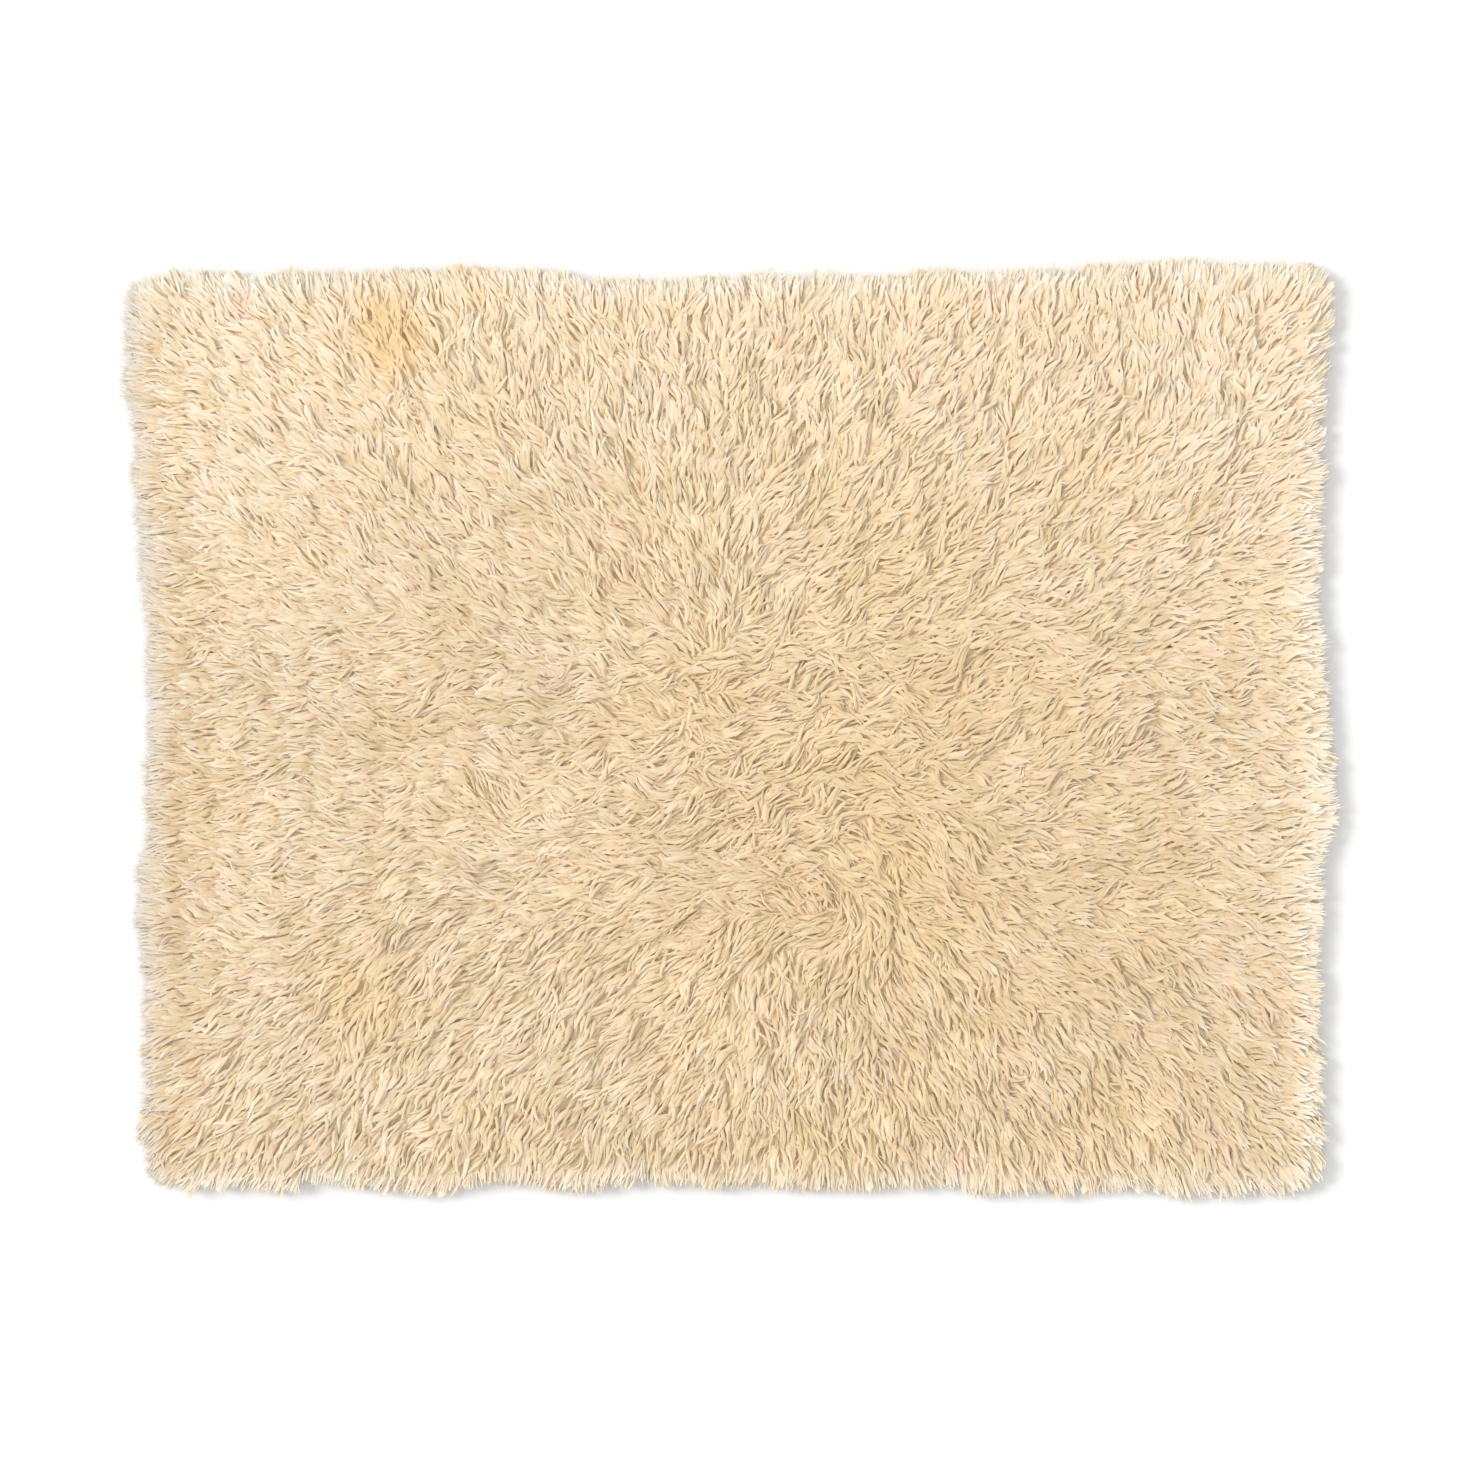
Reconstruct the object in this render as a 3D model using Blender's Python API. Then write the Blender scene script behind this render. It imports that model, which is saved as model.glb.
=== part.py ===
"""Shag rug, in metres, lying flat with +Z up, X along its long side and its origin under its middle.

The rug is one woven wool piece whose long pile grows out of its ground cloth, so it is one solid: a slab
with a flat underside and a lumpy top, and a tapering lock of pile on every step of its rim. The pile is
combed outwards from a parting near the middle, so the locks at the rim lean the way it lies there.
"""

import math
import random

import bmesh
import bpy
from mathutils import Vector, noise
from mathutils.geometry import delaunay_2d_cdt

# Driving dimensions.
LENGTH = 2.00  # along X, over the tips of the rim locks
WIDTH = 1.54  # along Y, over the tips of the rim locks
PILE_HEIGHT = 0.038  # the mean height of the combed pile in the field
SWELLS = (5.5, 0.3, 0.0035)  # how many to the metre, their draw, and how far they rise and dip from the mean
LUMPS = (15.0, 4.1, 0.0055)  # the same for the lumps on the swells
TUFT_HEIGHT = 0.0045  # how far single tufts rise and dip from the lumps
RIM_HEIGHT = 0.023  # the slab's edge, where the rim locks grow
RIM_LUMPS = 0.35  # how lumpy the pile is at the rim, as a share of the field
SHOULDER = 0.075  # how far in from the rim the pile reaches its full height
LOCK_REACH = 0.052  # from the slab's rim to the tips of the locks
LOCK_PITCH = 0.0245  # from one rim lock to the next
CORNER_RADIUS = 0.022  # of the slab's rim
TUFT_PITCH = 0.0365  # between the points that shape the top
TUFT_SHAKE = 0.16  # how far each is shaken off its even place, as a share of the pitch
TUFT_CLEAR = 0.62  # how far they stay inside the rim, as a share of the pitch
NET_GRAIN = 1e-7  # points nearer than this count as one

# How far the tips stop short of the full rectangle, for each side: the place along it, and the shortfall.
LEFT_SWAY = (
    (-0.72, 0.042),
    (-0.60, 0.042),
    (-0.45, 0.040),
    (-0.33, 0.024),
    (-0.20, 0.036),
    (-0.05, 0.048),
    (0.10, 0.050),
    (0.24, 0.040),
    (0.36, 0.020),
    (0.44, 0.031),
    (0.56, 0.015),
    (0.66, 0.004),
    (0.72, 0.010),
)
RIGHT_SWAY = (
    (-0.72, 0.022),
    (-0.64, 0.026),
    (-0.50, 0.033),
    (-0.38, 0.030),
    (-0.22, 0.018),
    (-0.12, 0.002),
    (0.00, 0.014),
    (0.16, 0.025),
    (0.26, 0.033),
    (0.36, 0.020),
    (0.49, 0.023),
    (0.60, 0.014),
    (0.72, 0.012),
)
TOP_SWAY = (
    (-0.94, 0.019),
    (-0.85, 0.026),
    (-0.69, 0.029),
    (-0.57, 0.017),
    (-0.48, 0.013),
    (-0.40, 0.020),
    (-0.24, 0.028),
    (-0.13, 0.031),
    (0.05, 0.026),
    (0.18, 0.021),
    (0.26, 0.026),
    (0.38, 0.016),
    (0.55, 0.014),
    (0.70, 0.006),
    (0.79, 0.009),
    (0.88, 0.002),
)
BOTTOM_SWAY = (
    (-0.94, 0.015),
    (-0.85, 0.018),
    (-0.76, 0.005),
    (-0.68, 0.026),
    (-0.60, 0.006),
    (-0.48, 0.012),
    (-0.36, 0.030),
    (-0.28, 0.012),
    (-0.20, 0.032),
    (-0.08, 0.014),
    (0.03, 0.026),
    (0.10, 0.013),
    (0.26, 0.012),
    (0.42, 0.020),
    (0.50, 0.009),
    (0.60, 0.006),
    (0.67, 0.018),
    (0.79, 0.002),
    (0.88, 0.008),
)

# The parting that the pile is combed away from, as the two ends of a line near the middle.
PARTING = (Vector((0.00, 0.165)), Vector((0.085, -0.31)))
COMB_SQUARENESS = 1.8  # at 1 the pile fans out evenly, and above it it turns to face the nearer side
LEAN_SHARE = 0.45  # how much a rim lock follows the combing, and not straight out

# A rim lock's rings: share of its reach, its width beside its root's, and its height beside its root's.
LOCK_RINGS = (
    (0.42, 0.84, 0.92),
    (0.78, 0.56, 0.76),
)
LOCK_RIDGE = 0.55  # how wide a lock's ridge is beside its foot
TIP_HEIGHT = 0.0015
REACH_VARIES = 0.12  # of a lock's reach, either way
TIP_STRAYS = 0.005  # how far a lock's tip strays sideways
STEEPEST_LEAN = 0.75  # a lock that leans more than this cosine isn't lengthened further to reach its place


def clear_scene():
    """Starts from an empty scene."""
    for thing in list(bpy.data.objects):
        bpy.data.objects.remove(thing, do_unlink=True)


def ease(share):
    """A smooth step from 0 to 1."""
    share = min(1.0, max(0.0, share))
    return share * share * (3 - 2 * share)


def short_of(table, along):
    """The shortfall at a place along a side, eased between the rows of that side's table."""
    if along <= table[0][0]:
        return table[0][1]
    for (here, short), (after, short_after) in zip(table, table[1:]):
        if along <= after:
            return short + (short_after - short) * ease((along - here) / (after - here))
    return table[-1][1]


def swayed(place):
    """A place of the even rectangle, drawn in by what each side falls short there."""
    across = short_of(RIGHT_SWAY if place.x > 0 else LEFT_SWAY, place.y)
    upright = short_of(TOP_SWAY if place.y > 0 else BOTTOM_SWAY, place.x)
    return Vector((place.x * (1 - across / (LENGTH / 2)), place.y * (1 - upright / (WIDTH / 2))))


def rim_line(count):
    """Even steps round the slab's rim, a round-cornered rectangle with swayed sides, with outward normals."""
    half = Vector((LENGTH / 2, WIDTH / 2)) - Vector((1, 1)) * (LOCK_REACH + CORNER_RADIUS)
    arc = math.pi / 2 * CORNER_RADIUS
    step = (4 * (half.x + half.y) + 4 * arc) / count
    steps = []
    run = 0.0
    for quarter in range(4):
        normal = Vector(((1, 0), (0, 1), (-1, 0), (0, -1))[quarter])
        tangent = Vector((-normal.y, normal.x))
        out, along = (half.x, half.y) if quarter % 2 == 0 else (half.y, half.x)
        while run < 2 * along:
            steps.append((normal * (out + CORNER_RADIUS) + tangent * (run - along), normal))
            run += step
        run -= 2 * along
        while run < arc - NET_GRAIN:
            turn = run / CORNER_RADIUS
            leant = normal * math.cos(turn) + tangent * math.sin(turn)
            steps.append((normal * out + tangent * along + leant * CORNER_RADIUS, leant))
            run += step
        run -= arc
    return [(swayed(place), normal) for place, normal in steps[:count]]


def rim_count():
    """How many locks fit round the rim, a whole number of pitches."""
    inner = LENGTH + WIDTH - 4 * (LOCK_REACH + CORNER_RADIUS)
    return round((2 * inner + 2 * math.pi * CORNER_RADIUS) / LOCK_PITCH)


def combing(place):
    """The way the pile lies: away from the nearest point of the parting, turned to face the nearer side."""
    start, end = PARTING
    line = end - start
    share = min(1.0, max(0.0, (place - start).dot(line) / line.length_squared))
    root = start + line * share
    away = place - root
    span_x = LENGTH / 2 - math.copysign(1, away.x) * root.x
    span_y = WIDTH / 2 - math.copysign(1, away.y) * root.y
    squared = Vector(
        (
            math.copysign(abs(away.x / span_x) ** COMB_SQUARENESS, away.x),
            math.copysign(abs(away.y / span_y) ** COMB_SQUARENESS, away.y),
        )
    )
    return squared.normalized()


def bump(place, kind):
    """Smooth unevenness at a place, by a kind's number to the metre, its draw and its height."""
    pace, layer, high = kind
    return high * noise.noise(Vector((place.x * pace, place.y * pace, layer)))


def top_height(place, inside, draw):
    """The pile's height at a place that far inside the rim: full in the field, and lower at the rim."""
    rise = ease(inside / SHOULDER)
    body = RIM_HEIGHT + (PILE_HEIGHT - RIM_HEIGHT) * rise
    lumps = bump(place, SWELLS) + bump(place, LUMPS) + TUFT_HEIGHT * draw.uniform(-1, 1)
    return body + lumps * (RIM_LUMPS + (1 - RIM_LUMPS) * rise)


def slab(rim, draw):
    """The slab with no underside yet: a Delaunay net through the rim and an even field of tuft points."""
    points = [point for point, _ in rim]
    row_pitch = TUFT_PITCH * math.sqrt(3) / 2
    rows = math.ceil(WIDTH / row_pitch)
    steps = math.ceil(LENGTH / TUFT_PITCH)
    insets = {}
    for row in range(rows):
        for step in range(steps):
            across = (step + 0.5 * (row % 2) - steps / 2) * TUFT_PITCH
            up = (row - rows / 2) * row_pitch
            shake = Vector((draw.uniform(-1, 1), draw.uniform(-1, 1))) * TUFT_PITCH * TUFT_SHAKE
            place = Vector((across, up)) + shake
            inside = depth_inside(place, rim)
            if inside > TUFT_PITCH * TUFT_CLEAR:
                insets[len(points)] = inside
                points.append(place)
    ring = [(i, (i + 1) % len(rim)) for i in range(len(rim))]
    net = delaunay_2d_cdt(points, ring, [], 1, NET_GRAIN)
    bm = bmesh.new()
    for place, origins in zip(net[0], net[3]):
        inside = insets.get(origins[0], 0.0)
        if inside == 0:
            height = RIM_HEIGHT + TUFT_HEIGHT * draw.uniform(-1, 1)
        else:
            height = top_height(place, inside, draw)
        bm.verts.new((place.x, place.y, height))
    bm.verts.ensure_lookup_table()
    for corners in net[2]:
        bm.faces.new([bm.verts[i] for i in corners])
    return bm


def depth_inside(place, rim):
    """How far a place lies inside the rim, or below zero outside it, by the rim point nearest to it."""
    nearest, normal = min(rim, key=lambda entry: (entry[0] - place).length_squared)
    return (nearest - place).dot(normal)


def close_underside(bm):
    """Drops the rim to the floor and closes the flat underside. Returns the rim's faces, in order round it."""
    rim_edges = [edge for edge in bm.edges if edge.is_boundary]
    wall = bmesh.ops.extrude_edge_only(bm, edges=rim_edges)["geom"]
    for vert in (part for part in wall if isinstance(part, bmesh.types.BMVert)):
        vert.co.z = 0.0
    bmesh.ops.edgeloop_fill(bm, edges=[edge for edge in bm.edges if edge.is_boundary])
    bmesh.ops.recalc_face_normals(bm, faces=bm.faces)
    faces = [part for part in wall if isinstance(part, bmesh.types.BMFace)]
    return sorted(faces, key=lambda face: math.atan2(*face.calc_center_median().yx))


def grow_lock(bm, face, draw):
    """Grows one rim lock out of its face of the rim: two narrowing rings, level on the floor, and a tip."""
    root = face.calc_center_median().xy
    outwards = face.normal.xy.normalized()
    tangent = Vector((-outwards.y, outwards.x))
    way = (outwards * (1 - LEAN_SHARE) + combing(root) * LEAN_SHARE).normalized()
    reach = LOCK_REACH * (1 + REACH_VARIES * draw.uniform(-1, 1)) / max(STEEPEST_LEAN, way.dot(outwards))
    stray = TIP_STRAYS * draw.uniform(-1, 1)
    foot = {vert: ((vert.co.xy - root).dot(tangent), vert.co.z) for vert in face.verts}
    for share, wide, high in LOCK_RINGS:
        grown = bmesh.ops.extrude_discrete_faces(bm, faces=[face])["faces"][0]
        centre = root + way * reach * share + tangent * stray * share**2
        rest = {}
        for vert in grown.verts:
            side, height = foot[min(foot, key=lambda old: (old.co - vert.co).length_squared)]
            ridge = LOCK_RIDGE if height > 0 else 1.0
            rest[vert] = (side, height)
            flat = centre + tangent * side * wide * ridge
            vert.co = (flat.x, flat.y, height * high)
        foot, face = rest, grown
    tip = bmesh.ops.poke(bm, faces=[face])["verts"][0]
    end = root + way * reach + tangent * stray
    tip.co = (end.x, end.y, TIP_HEIGHT)


def fit_to_size(bm):
    """Centres the rug on the origin, and trims its reach to the named length and width."""
    xs = [vert.co.x for vert in bm.verts]
    ys = [vert.co.y for vert in bm.verts]
    middle = Vector(((max(xs) + min(xs)) / 2, (max(ys) + min(ys)) / 2))
    scale = Vector((LENGTH / (max(xs) - min(xs)), WIDTH / (max(ys) - min(ys))))
    for vert in bm.verts:
        vert.co.x = (vert.co.x - middle.x) * scale.x
        vert.co.y = (vert.co.y - middle.y) * scale.y


def wool_material():
    """Undyed cream sheep's wool."""
    material = bpy.data.materials.new("cream_wool")
    material.use_nodes = True
    shader = material.node_tree.nodes["Principled BSDF"]
    shader.inputs["Base Color"].default_value = (0.80, 0.62, 0.41, 1.0)
    shader.inputs["Roughness"].default_value = 0.9
    shader.inputs["Metallic"].default_value = 0.0
    return material


def shag_rug(collection):
    """The whole rug as one closed solid."""
    draw = random.Random(11)
    bm = slab(rim_line(rim_count()), draw)
    for face in close_underside(bm):
        grow_lock(bm, face, draw)
    fit_to_size(bm)
    mesh = bpy.data.meshes.new("shag_rug")
    bm.to_mesh(mesh)
    bm.free()
    mesh.materials.append(wool_material())
    rug = bpy.data.objects.new("shag_rug", mesh)
    collection.objects.link(rug)
    return rug


def main():
    clear_scene()
    collection = bpy.data.collections.new("shag_rug")
    bpy.context.scene.collection.children.link(collection)
    shag_rug(collection)


main()
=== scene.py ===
"""The looks of a cream shag rug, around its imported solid: metres, +Z up, X along the long side.

The sections follow the rug as it is made: the woven ground cloth, the matted roots of the pile, the locks of
the field, the locks of the rim and its wisps. The floor, the light and the camera come last.
"""

import math

import bpy
import numpy as np
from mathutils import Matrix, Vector


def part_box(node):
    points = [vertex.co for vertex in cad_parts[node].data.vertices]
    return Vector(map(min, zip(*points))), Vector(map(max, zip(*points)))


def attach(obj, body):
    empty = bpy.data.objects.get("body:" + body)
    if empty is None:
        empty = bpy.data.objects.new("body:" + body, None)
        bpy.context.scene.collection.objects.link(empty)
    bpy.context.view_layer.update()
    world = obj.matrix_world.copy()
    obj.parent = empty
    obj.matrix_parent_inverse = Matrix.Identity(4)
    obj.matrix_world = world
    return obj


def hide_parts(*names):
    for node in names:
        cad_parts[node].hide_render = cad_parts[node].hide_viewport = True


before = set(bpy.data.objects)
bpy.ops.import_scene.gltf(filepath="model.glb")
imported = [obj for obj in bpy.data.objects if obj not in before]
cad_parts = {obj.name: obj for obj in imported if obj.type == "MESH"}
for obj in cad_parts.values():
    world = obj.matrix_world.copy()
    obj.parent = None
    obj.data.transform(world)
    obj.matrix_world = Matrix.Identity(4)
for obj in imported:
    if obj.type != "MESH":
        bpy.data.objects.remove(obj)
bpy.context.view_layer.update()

# The ground cloth. The rug's base is one plain-woven wool cloth, and the pile is knotted through it and hangs
# past its edge all round. It lies flat on the floor, and only its bare woven back shows, from below.

CLOTH_INSET = 0.050  # from the line of the pile's tips to the edge of the cloth
CLOTH_THICKNESS = 0.0024
CLOTH_STEPS = (36, 28)  # faces along and across
THREAD_PITCH = 0.0042
TIP_LEVELS = (0.0008, 0.0022)  # the tips of the solid's rim locks lie between these heights
SIDE_BAND = 0.11  # a tip this near to the box's side belongs to that side
SIDE_ENDS = 0.09  # but not one this near to the next side
SIDE_BLUR = 0.040  # how far along a side its line is evened out
CORNER = 0.032  # how round the corners of the line of the tips are
CORNER_PULL = 0.014  # how far, as a share, the corners of the cloth are drawn in
CORNER_POWER = 7

rug_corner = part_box("shag_rug")[1]
HALF = np.array([rug_corner.x, rug_corner.y])


def lock_tips(node):
    """The tips of the solid's rim locks: its points just above the floor, each place once."""
    flat = np.empty(len(node.data.vertices) * 3, np.float32)
    node.data.vertices.foreach_get("co", flat)
    points = flat.reshape(-1, 3).astype(float)
    low, high = TIP_LEVELS
    return np.unique(points[(points[:, 2] > low) & (points[:, 2] < high), :2].round(5), axis=0)


def side_line(tips, axis, sign):
    """A smooth line along one side: at each place the mean of that side's tips, the nearest counting most."""
    out, along = tips[:, axis] * sign, tips[:, 1 - axis]
    mine = (out > HALF[axis] - SIDE_BAND) & (np.abs(along) < HALF[1 - axis] - SIDE_ENDS)
    known, out = along[mine], tips[mine, axis]

    def line(place):
        inner = np.clip(place, known.min(), known.max())
        near = np.exp(-(((inner[..., None] - known) / SIDE_BLUR) ** 2))
        return (near * out).sum(-1) / near.sum(-1)

    return line


TIPS = lock_tips(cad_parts["shag_rug"])
right_side, left_side = side_line(TIPS, 0, 1), side_line(TIPS, 0, -1)
far_side, near_side = side_line(TIPS, 1, 1), side_line(TIPS, 1, -1)


def to_sides(points):
    """How far each point is from the nearer of the left and right sides, and of the near and far ones."""
    x, y = points[..., 0], points[..., 1]
    across = np.where(x > 0, right_side(y) - x, x - left_side(y))
    upright = np.where(y > 0, far_side(x) - y, y - near_side(x))
    return across, upright


def room(points):
    """How far inside the line of the tips each point lies, by its nearest side, and round in the corners."""
    across, upright = to_sides(points)
    least = np.minimum(across, upright)
    round_corner = CORNER - np.hypot(np.clip(CORNER - across, 0, None), np.clip(CORNER - upright, 0, None))
    return np.where(least < CORNER, round_corner, least)


def spread(u, v, inset):
    """Places for u and v from -1 to 1: mixes of opposite sides, with corners drawn in by a high power."""
    drawn = 1 - CORNER_PULL * np.abs(u * v) ** CORNER_POWER
    u, v = u * drawn, v * drawn
    x, y = u * HALF[0], v * HALF[1]
    left, right = left_side(y) + inset, right_side(y) - inset
    near, far = near_side(x) + inset, far_side(x) - inset
    return np.stack([left + (right - left) * (u + 1) / 2, near + (far - near) * (v + 1) / 2], axis=-1)


def grid_faces(columns, rows):
    """The four corners of each face of a grid of points, counter-clockwise, for rows of that many columns."""
    first = np.arange(columns - 1)[None, :] + columns * np.arange(rows - 1)[:, None]
    return np.stack([first, first + 1, first + 1 + columns, first + columns], axis=-1).reshape(-1, 4)


class Dye:
    """A value in a material. Arithmetic on it adds Math nodes, and add() puts in a node of any kind."""

    def __init__(self, tree, socket=None):
        self.tree = tree
        self.socket = socket

    def add(self, kind, settings=None, sockets=None, out=0):
        """Adds a node with these settings and its sockets' values or links. Gives the output asked for."""
        node = self.tree.nodes.new(kind)
        for name, value in (settings or {}).items():
            if name == "stops":
                for _ in range(len(value) - 2):
                    node.color_ramp.elements.new(0.5)
                for element, (place, colour) in zip(node.color_ramp.elements, value):
                    element.position = place
                    element.color = (*colour, 1.0)
            else:
                setattr(node, name, value)
        for name, value in (sockets or {}).items():
            if isinstance(value, Dye):
                self.tree.links.new(value.socket, node.inputs[name])
            elif hasattr(value, "__len__") and len(value) == 3 and node.inputs[name].type == "RGBA":
                node.inputs[name].default_value = (*value, 1.0)
            else:
                node.inputs[name].default_value = value
        return Dye(self.tree, node.outputs[out]) if node.outputs else None

    def maths(self, operation, *values):
        return self.add("ShaderNodeMath", {"operation": operation}, dict(enumerate(values)))

    def __add__(self, other):
        return self.maths("ADD", self, other)

    def __mul__(self, other):
        return self.maths("MULTIPLY", self, other)

    def part(self, place):
        """The x, y or z of a vector, by its place."""
        return self.add("ShaderNodeSeparateXYZ", {}, {0: self}, place)

    def mix(self, first, second):
        """The first colour where this value is 0, and the second where it is 1."""
        return self.add("ShaderNodeMix", {"data_type": "RGBA"}, {0: self, 6: first, 7: second}, 2)

    def times(self, other):
        """This colour multiplied by another."""
        settings = {"data_type": "RGBA", "blend_type": "MULTIPLY"}
        return self.add("ShaderNodeMix", settings, {0: 1.0, 6: self, 7: other}, 2)


def new_material(name):
    """An empty material and the start of its nodes."""
    material = bpy.data.materials.new(name)
    material.use_nodes = True
    material.node_tree.nodes.clear()
    return material, Dye(material.node_tree)


def wool_surface(dye, sockets):
    """Finishes a material as wool: rough and matt, with a soft sheen, and these sockets besides."""
    wool = {"Roughness": 0.9, "Specular IOR Level": 0.2, "Sheen Weight": 0.3, "Sheen Roughness": 0.6}
    surface = dye.add("ShaderNodeBsdfPrincipled", {}, {**wool, **sockets})
    dye.add("ShaderNodeOutputMaterial", {}, {"Surface": surface})


def cloth_material():
    """Plain weave: warp and weft that pass over and under each other, each a little lighter or darker.

    Where a thread dips under it is darker too, as painted shade.
    """
    material, dye = new_material("woven_wool")
    place = dye.add("ShaderNodeTexCoord", out=3)
    turns = math.pi / THREAD_PITCH
    warp = dye.maths("SINE", place.part(0) * turns)
    weft = dye.maths("SINE", place.part(1) * turns)
    relief = (warp * weft) * 0.5 + 0.5
    fibre = dye.add("ShaderNodeTexNoise", {}, {"Vector": place, "Scale": 260.0, "Detail": 3.0})
    patch = dye.add("ShaderNodeTexNoise", {}, {"Vector": place, "Scale": 5.0, "Detail": 2.0})
    # Painted shade: the weave's relief, which also drives the bump, darkens the colour where the threads dip.
    tone = relief * 0.45 + fibre * 0.35 + patch * 0.3
    ramp = {"stops": [(0.25, (0.40, 0.29, 0.17)), (0.85, (0.78, 0.64, 0.44))]}
    colour = dye.add("ShaderNodeValToRGB", ramp, {0: tone})
    height = relief + fibre * 0.3
    bump = dye.add("ShaderNodeBump", {}, {"Strength": 0.8, "Distance": 0.0012, "Height": height})
    wool_surface(dye, {"Base Color": colour, "Normal": bump})
    return material


def new_piece(name, points, faces, material):
    """A mesh object at the origin from its points and faces, shaded smooth, in one material."""
    mesh = bpy.data.meshes.new(name)
    mesh.from_pydata(points.tolist(), [], [list(face) for face in faces])
    mesh.materials.append(material)
    mesh.shade_smooth()
    piece = bpy.data.objects.new(name, mesh)
    bpy.context.scene.collection.objects.link(piece)
    return piece


def ground_cloth():
    """A flat grid inside the side lines, given its thickness upwards by Solidify."""
    columns, rows = CLOTH_STEPS[0] + 1, CLOTH_STEPS[1] + 1
    u, v = np.meshgrid(np.linspace(-1, 1, columns), np.linspace(-1, 1, rows))
    flat = spread(u, v, CLOTH_INSET).reshape(-1, 2)
    points = np.concatenate([flat, np.zeros((len(flat), 1))], axis=1)
    piece = new_piece("ground_cloth", points, grid_faces(columns, rows), cloth_material())
    thickness = piece.modifiers.new("thickness", "SOLIDIFY")
    thickness.thickness = CLOTH_THICKNESS
    thickness.offset = 1.0
    return piece


cloth = ground_cloth()
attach(cloth, "root")

# The matted roots. Under the loose locks the wool has felted into a thick soft mat on the cloth, lumpy, and
# darker than the tips, partly in its own colour and partly as painted shade between the locks. It swells
# past the cloth's edge, and ends in a low wall that the rim's locks cover.

MAT_INSET = 0.026  # from the line of the tips to the foot of the mat
MAT_STEPS = (96, 74)
MAT_FLOOR = 0.0006  # its foot clears the cloth's top by this
MAT_PROFILE = (
    # how far in from the line of the tips, and the height there
    (0.000, 0.0190),
    (0.026, 0.0225),
    (0.045, 0.0245),
    (0.075, 0.0262),
    (0.120, 0.0280),
    (0.200, 0.0290),
)
MAT_SWELLS = (
    # how long and how high the mat's swells are, and their draw
    (0.30, 0.0022, 21),
    (0.11, 0.0022, 22),
    (0.045, 0.0012, 23),
)
SWELLS_FROM = 0.120  # how far in from the line of the tips the swells have their full height
WAVES_IN_NOISE = 9
WAVE_LENGTHS = (0.7, 1.6)  # of the shortest and the longest, as shares of the noise's size


def noise(points, size, seed):
    """Smooth noise of about -1 to 1: a sum of sine waves of about that size, in ways drawn at random."""
    draw = np.random.default_rng(seed)
    way = draw.uniform(0, 2 * math.pi, WAVES_IN_NOISE)
    pace = 2 * math.pi / (size * draw.uniform(*WAVE_LENGTHS, WAVES_IN_NOISE))
    start = draw.uniform(0, 2 * math.pi, WAVES_IN_NOISE)
    total = np.zeros(points.shape[:-1])
    for turn, fast, phase in zip(way, pace, start):
        total += np.sin(fast * (points[..., 0] * math.cos(turn) + points[..., 1] * math.sin(turn)) + phase)
    return total * math.sqrt(2 / WAVES_IN_NOISE)


def mat_height(points):
    """The mat's height: its profile by how far in a place lies, with swells that fade towards the rim."""
    inside = room(points)
    height = np.interp(inside, *zip(*MAT_PROFILE))
    swells = sum(high * noise(points, long, seed) for long, high, seed in MAT_SWELLS)
    return height + swells * np.clip(inside / SWELLS_FROM, 0, 1)


def mat_material():
    """Felted wool: tangled fibres, in a tan that is partly painted shade between the locks, dark in the
    hollows as painted shade.
    """
    material, dye = new_material("felted_wool")
    place = dye.add("ShaderNodeTexCoord", out=3)
    fibres = {"Vector": place, "Scale": 160.0, "Detail": 4.0, "Distortion": 1.2}
    tangle = dye.add("ShaderNodeTexNoise", {}, fibres)
    lump = dye.add("ShaderNodeTexNoise", {}, {"Vector": place, "Scale": 38.0, "Detail": 2.0})
    tone = tangle * 0.6 + lump * 0.4
    # Painted shade: the colour follows the bump's height, darker in its hollows, and the whole mat is darker
    # than the locks' tips.
    ramp = {"stops": [(0.30, (0.86, 0.62, 0.34)), (0.70, (0.94, 0.74, 0.47))]}
    colour = dye.add("ShaderNodeValToRGB", ramp, {0: tone})
    bump = dye.add("ShaderNodeBump", {}, {"Strength": 0.9, "Distance": 0.004, "Height": tone})
    wool_surface(dye, {"Base Color": colour, "Normal": bump})
    return material


def matted_roots():
    """A grid inside the side lines at the mat's height, closed below by one flat face round its rim."""
    columns, rows = MAT_STEPS[0] + 1, MAT_STEPS[1] + 1
    u, v = np.meshgrid(np.linspace(-1, 1, columns), np.linspace(-1, 1, rows))
    flat = spread(u, v, MAT_INSET)
    points = np.concatenate([flat, mat_height(flat)[..., None]], axis=-1).reshape(-1, 3)
    index = np.arange(columns * rows).reshape(rows, columns)
    rim = np.concatenate([index[0, :-1], index[:-1, -1], index[-1, :0:-1], index[:0:-1, 0]])
    foot = points[rim].copy()
    foot[:, 2] = CLOTH_THICKNESS + MAT_FLOOR
    points[rim, 2] = np.maximum(points[rim, 2], CLOTH_THICKNESS + 2 * MAT_FLOOR)
    below = len(points) + np.arange(len(rim))
    wall = np.stack([rim, below, np.roll(below, -1), np.roll(rim, -1)], axis=-1)
    faces = [*grid_faces(columns, rows).tolist(), *wall.tolist(), below[::-1].tolist()]
    return new_piece("matted_roots", np.concatenate([points, foot]), faces, mat_material())


mat = matted_roots()
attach(mat, "root")
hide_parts("shag_rug")

# The locks of the field. The pile is tapering locks of wavy wool, knotted close through the cloth and combed
# outwards from a parting near the middle. They lie over each other like thatch, the broader ones below.

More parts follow.
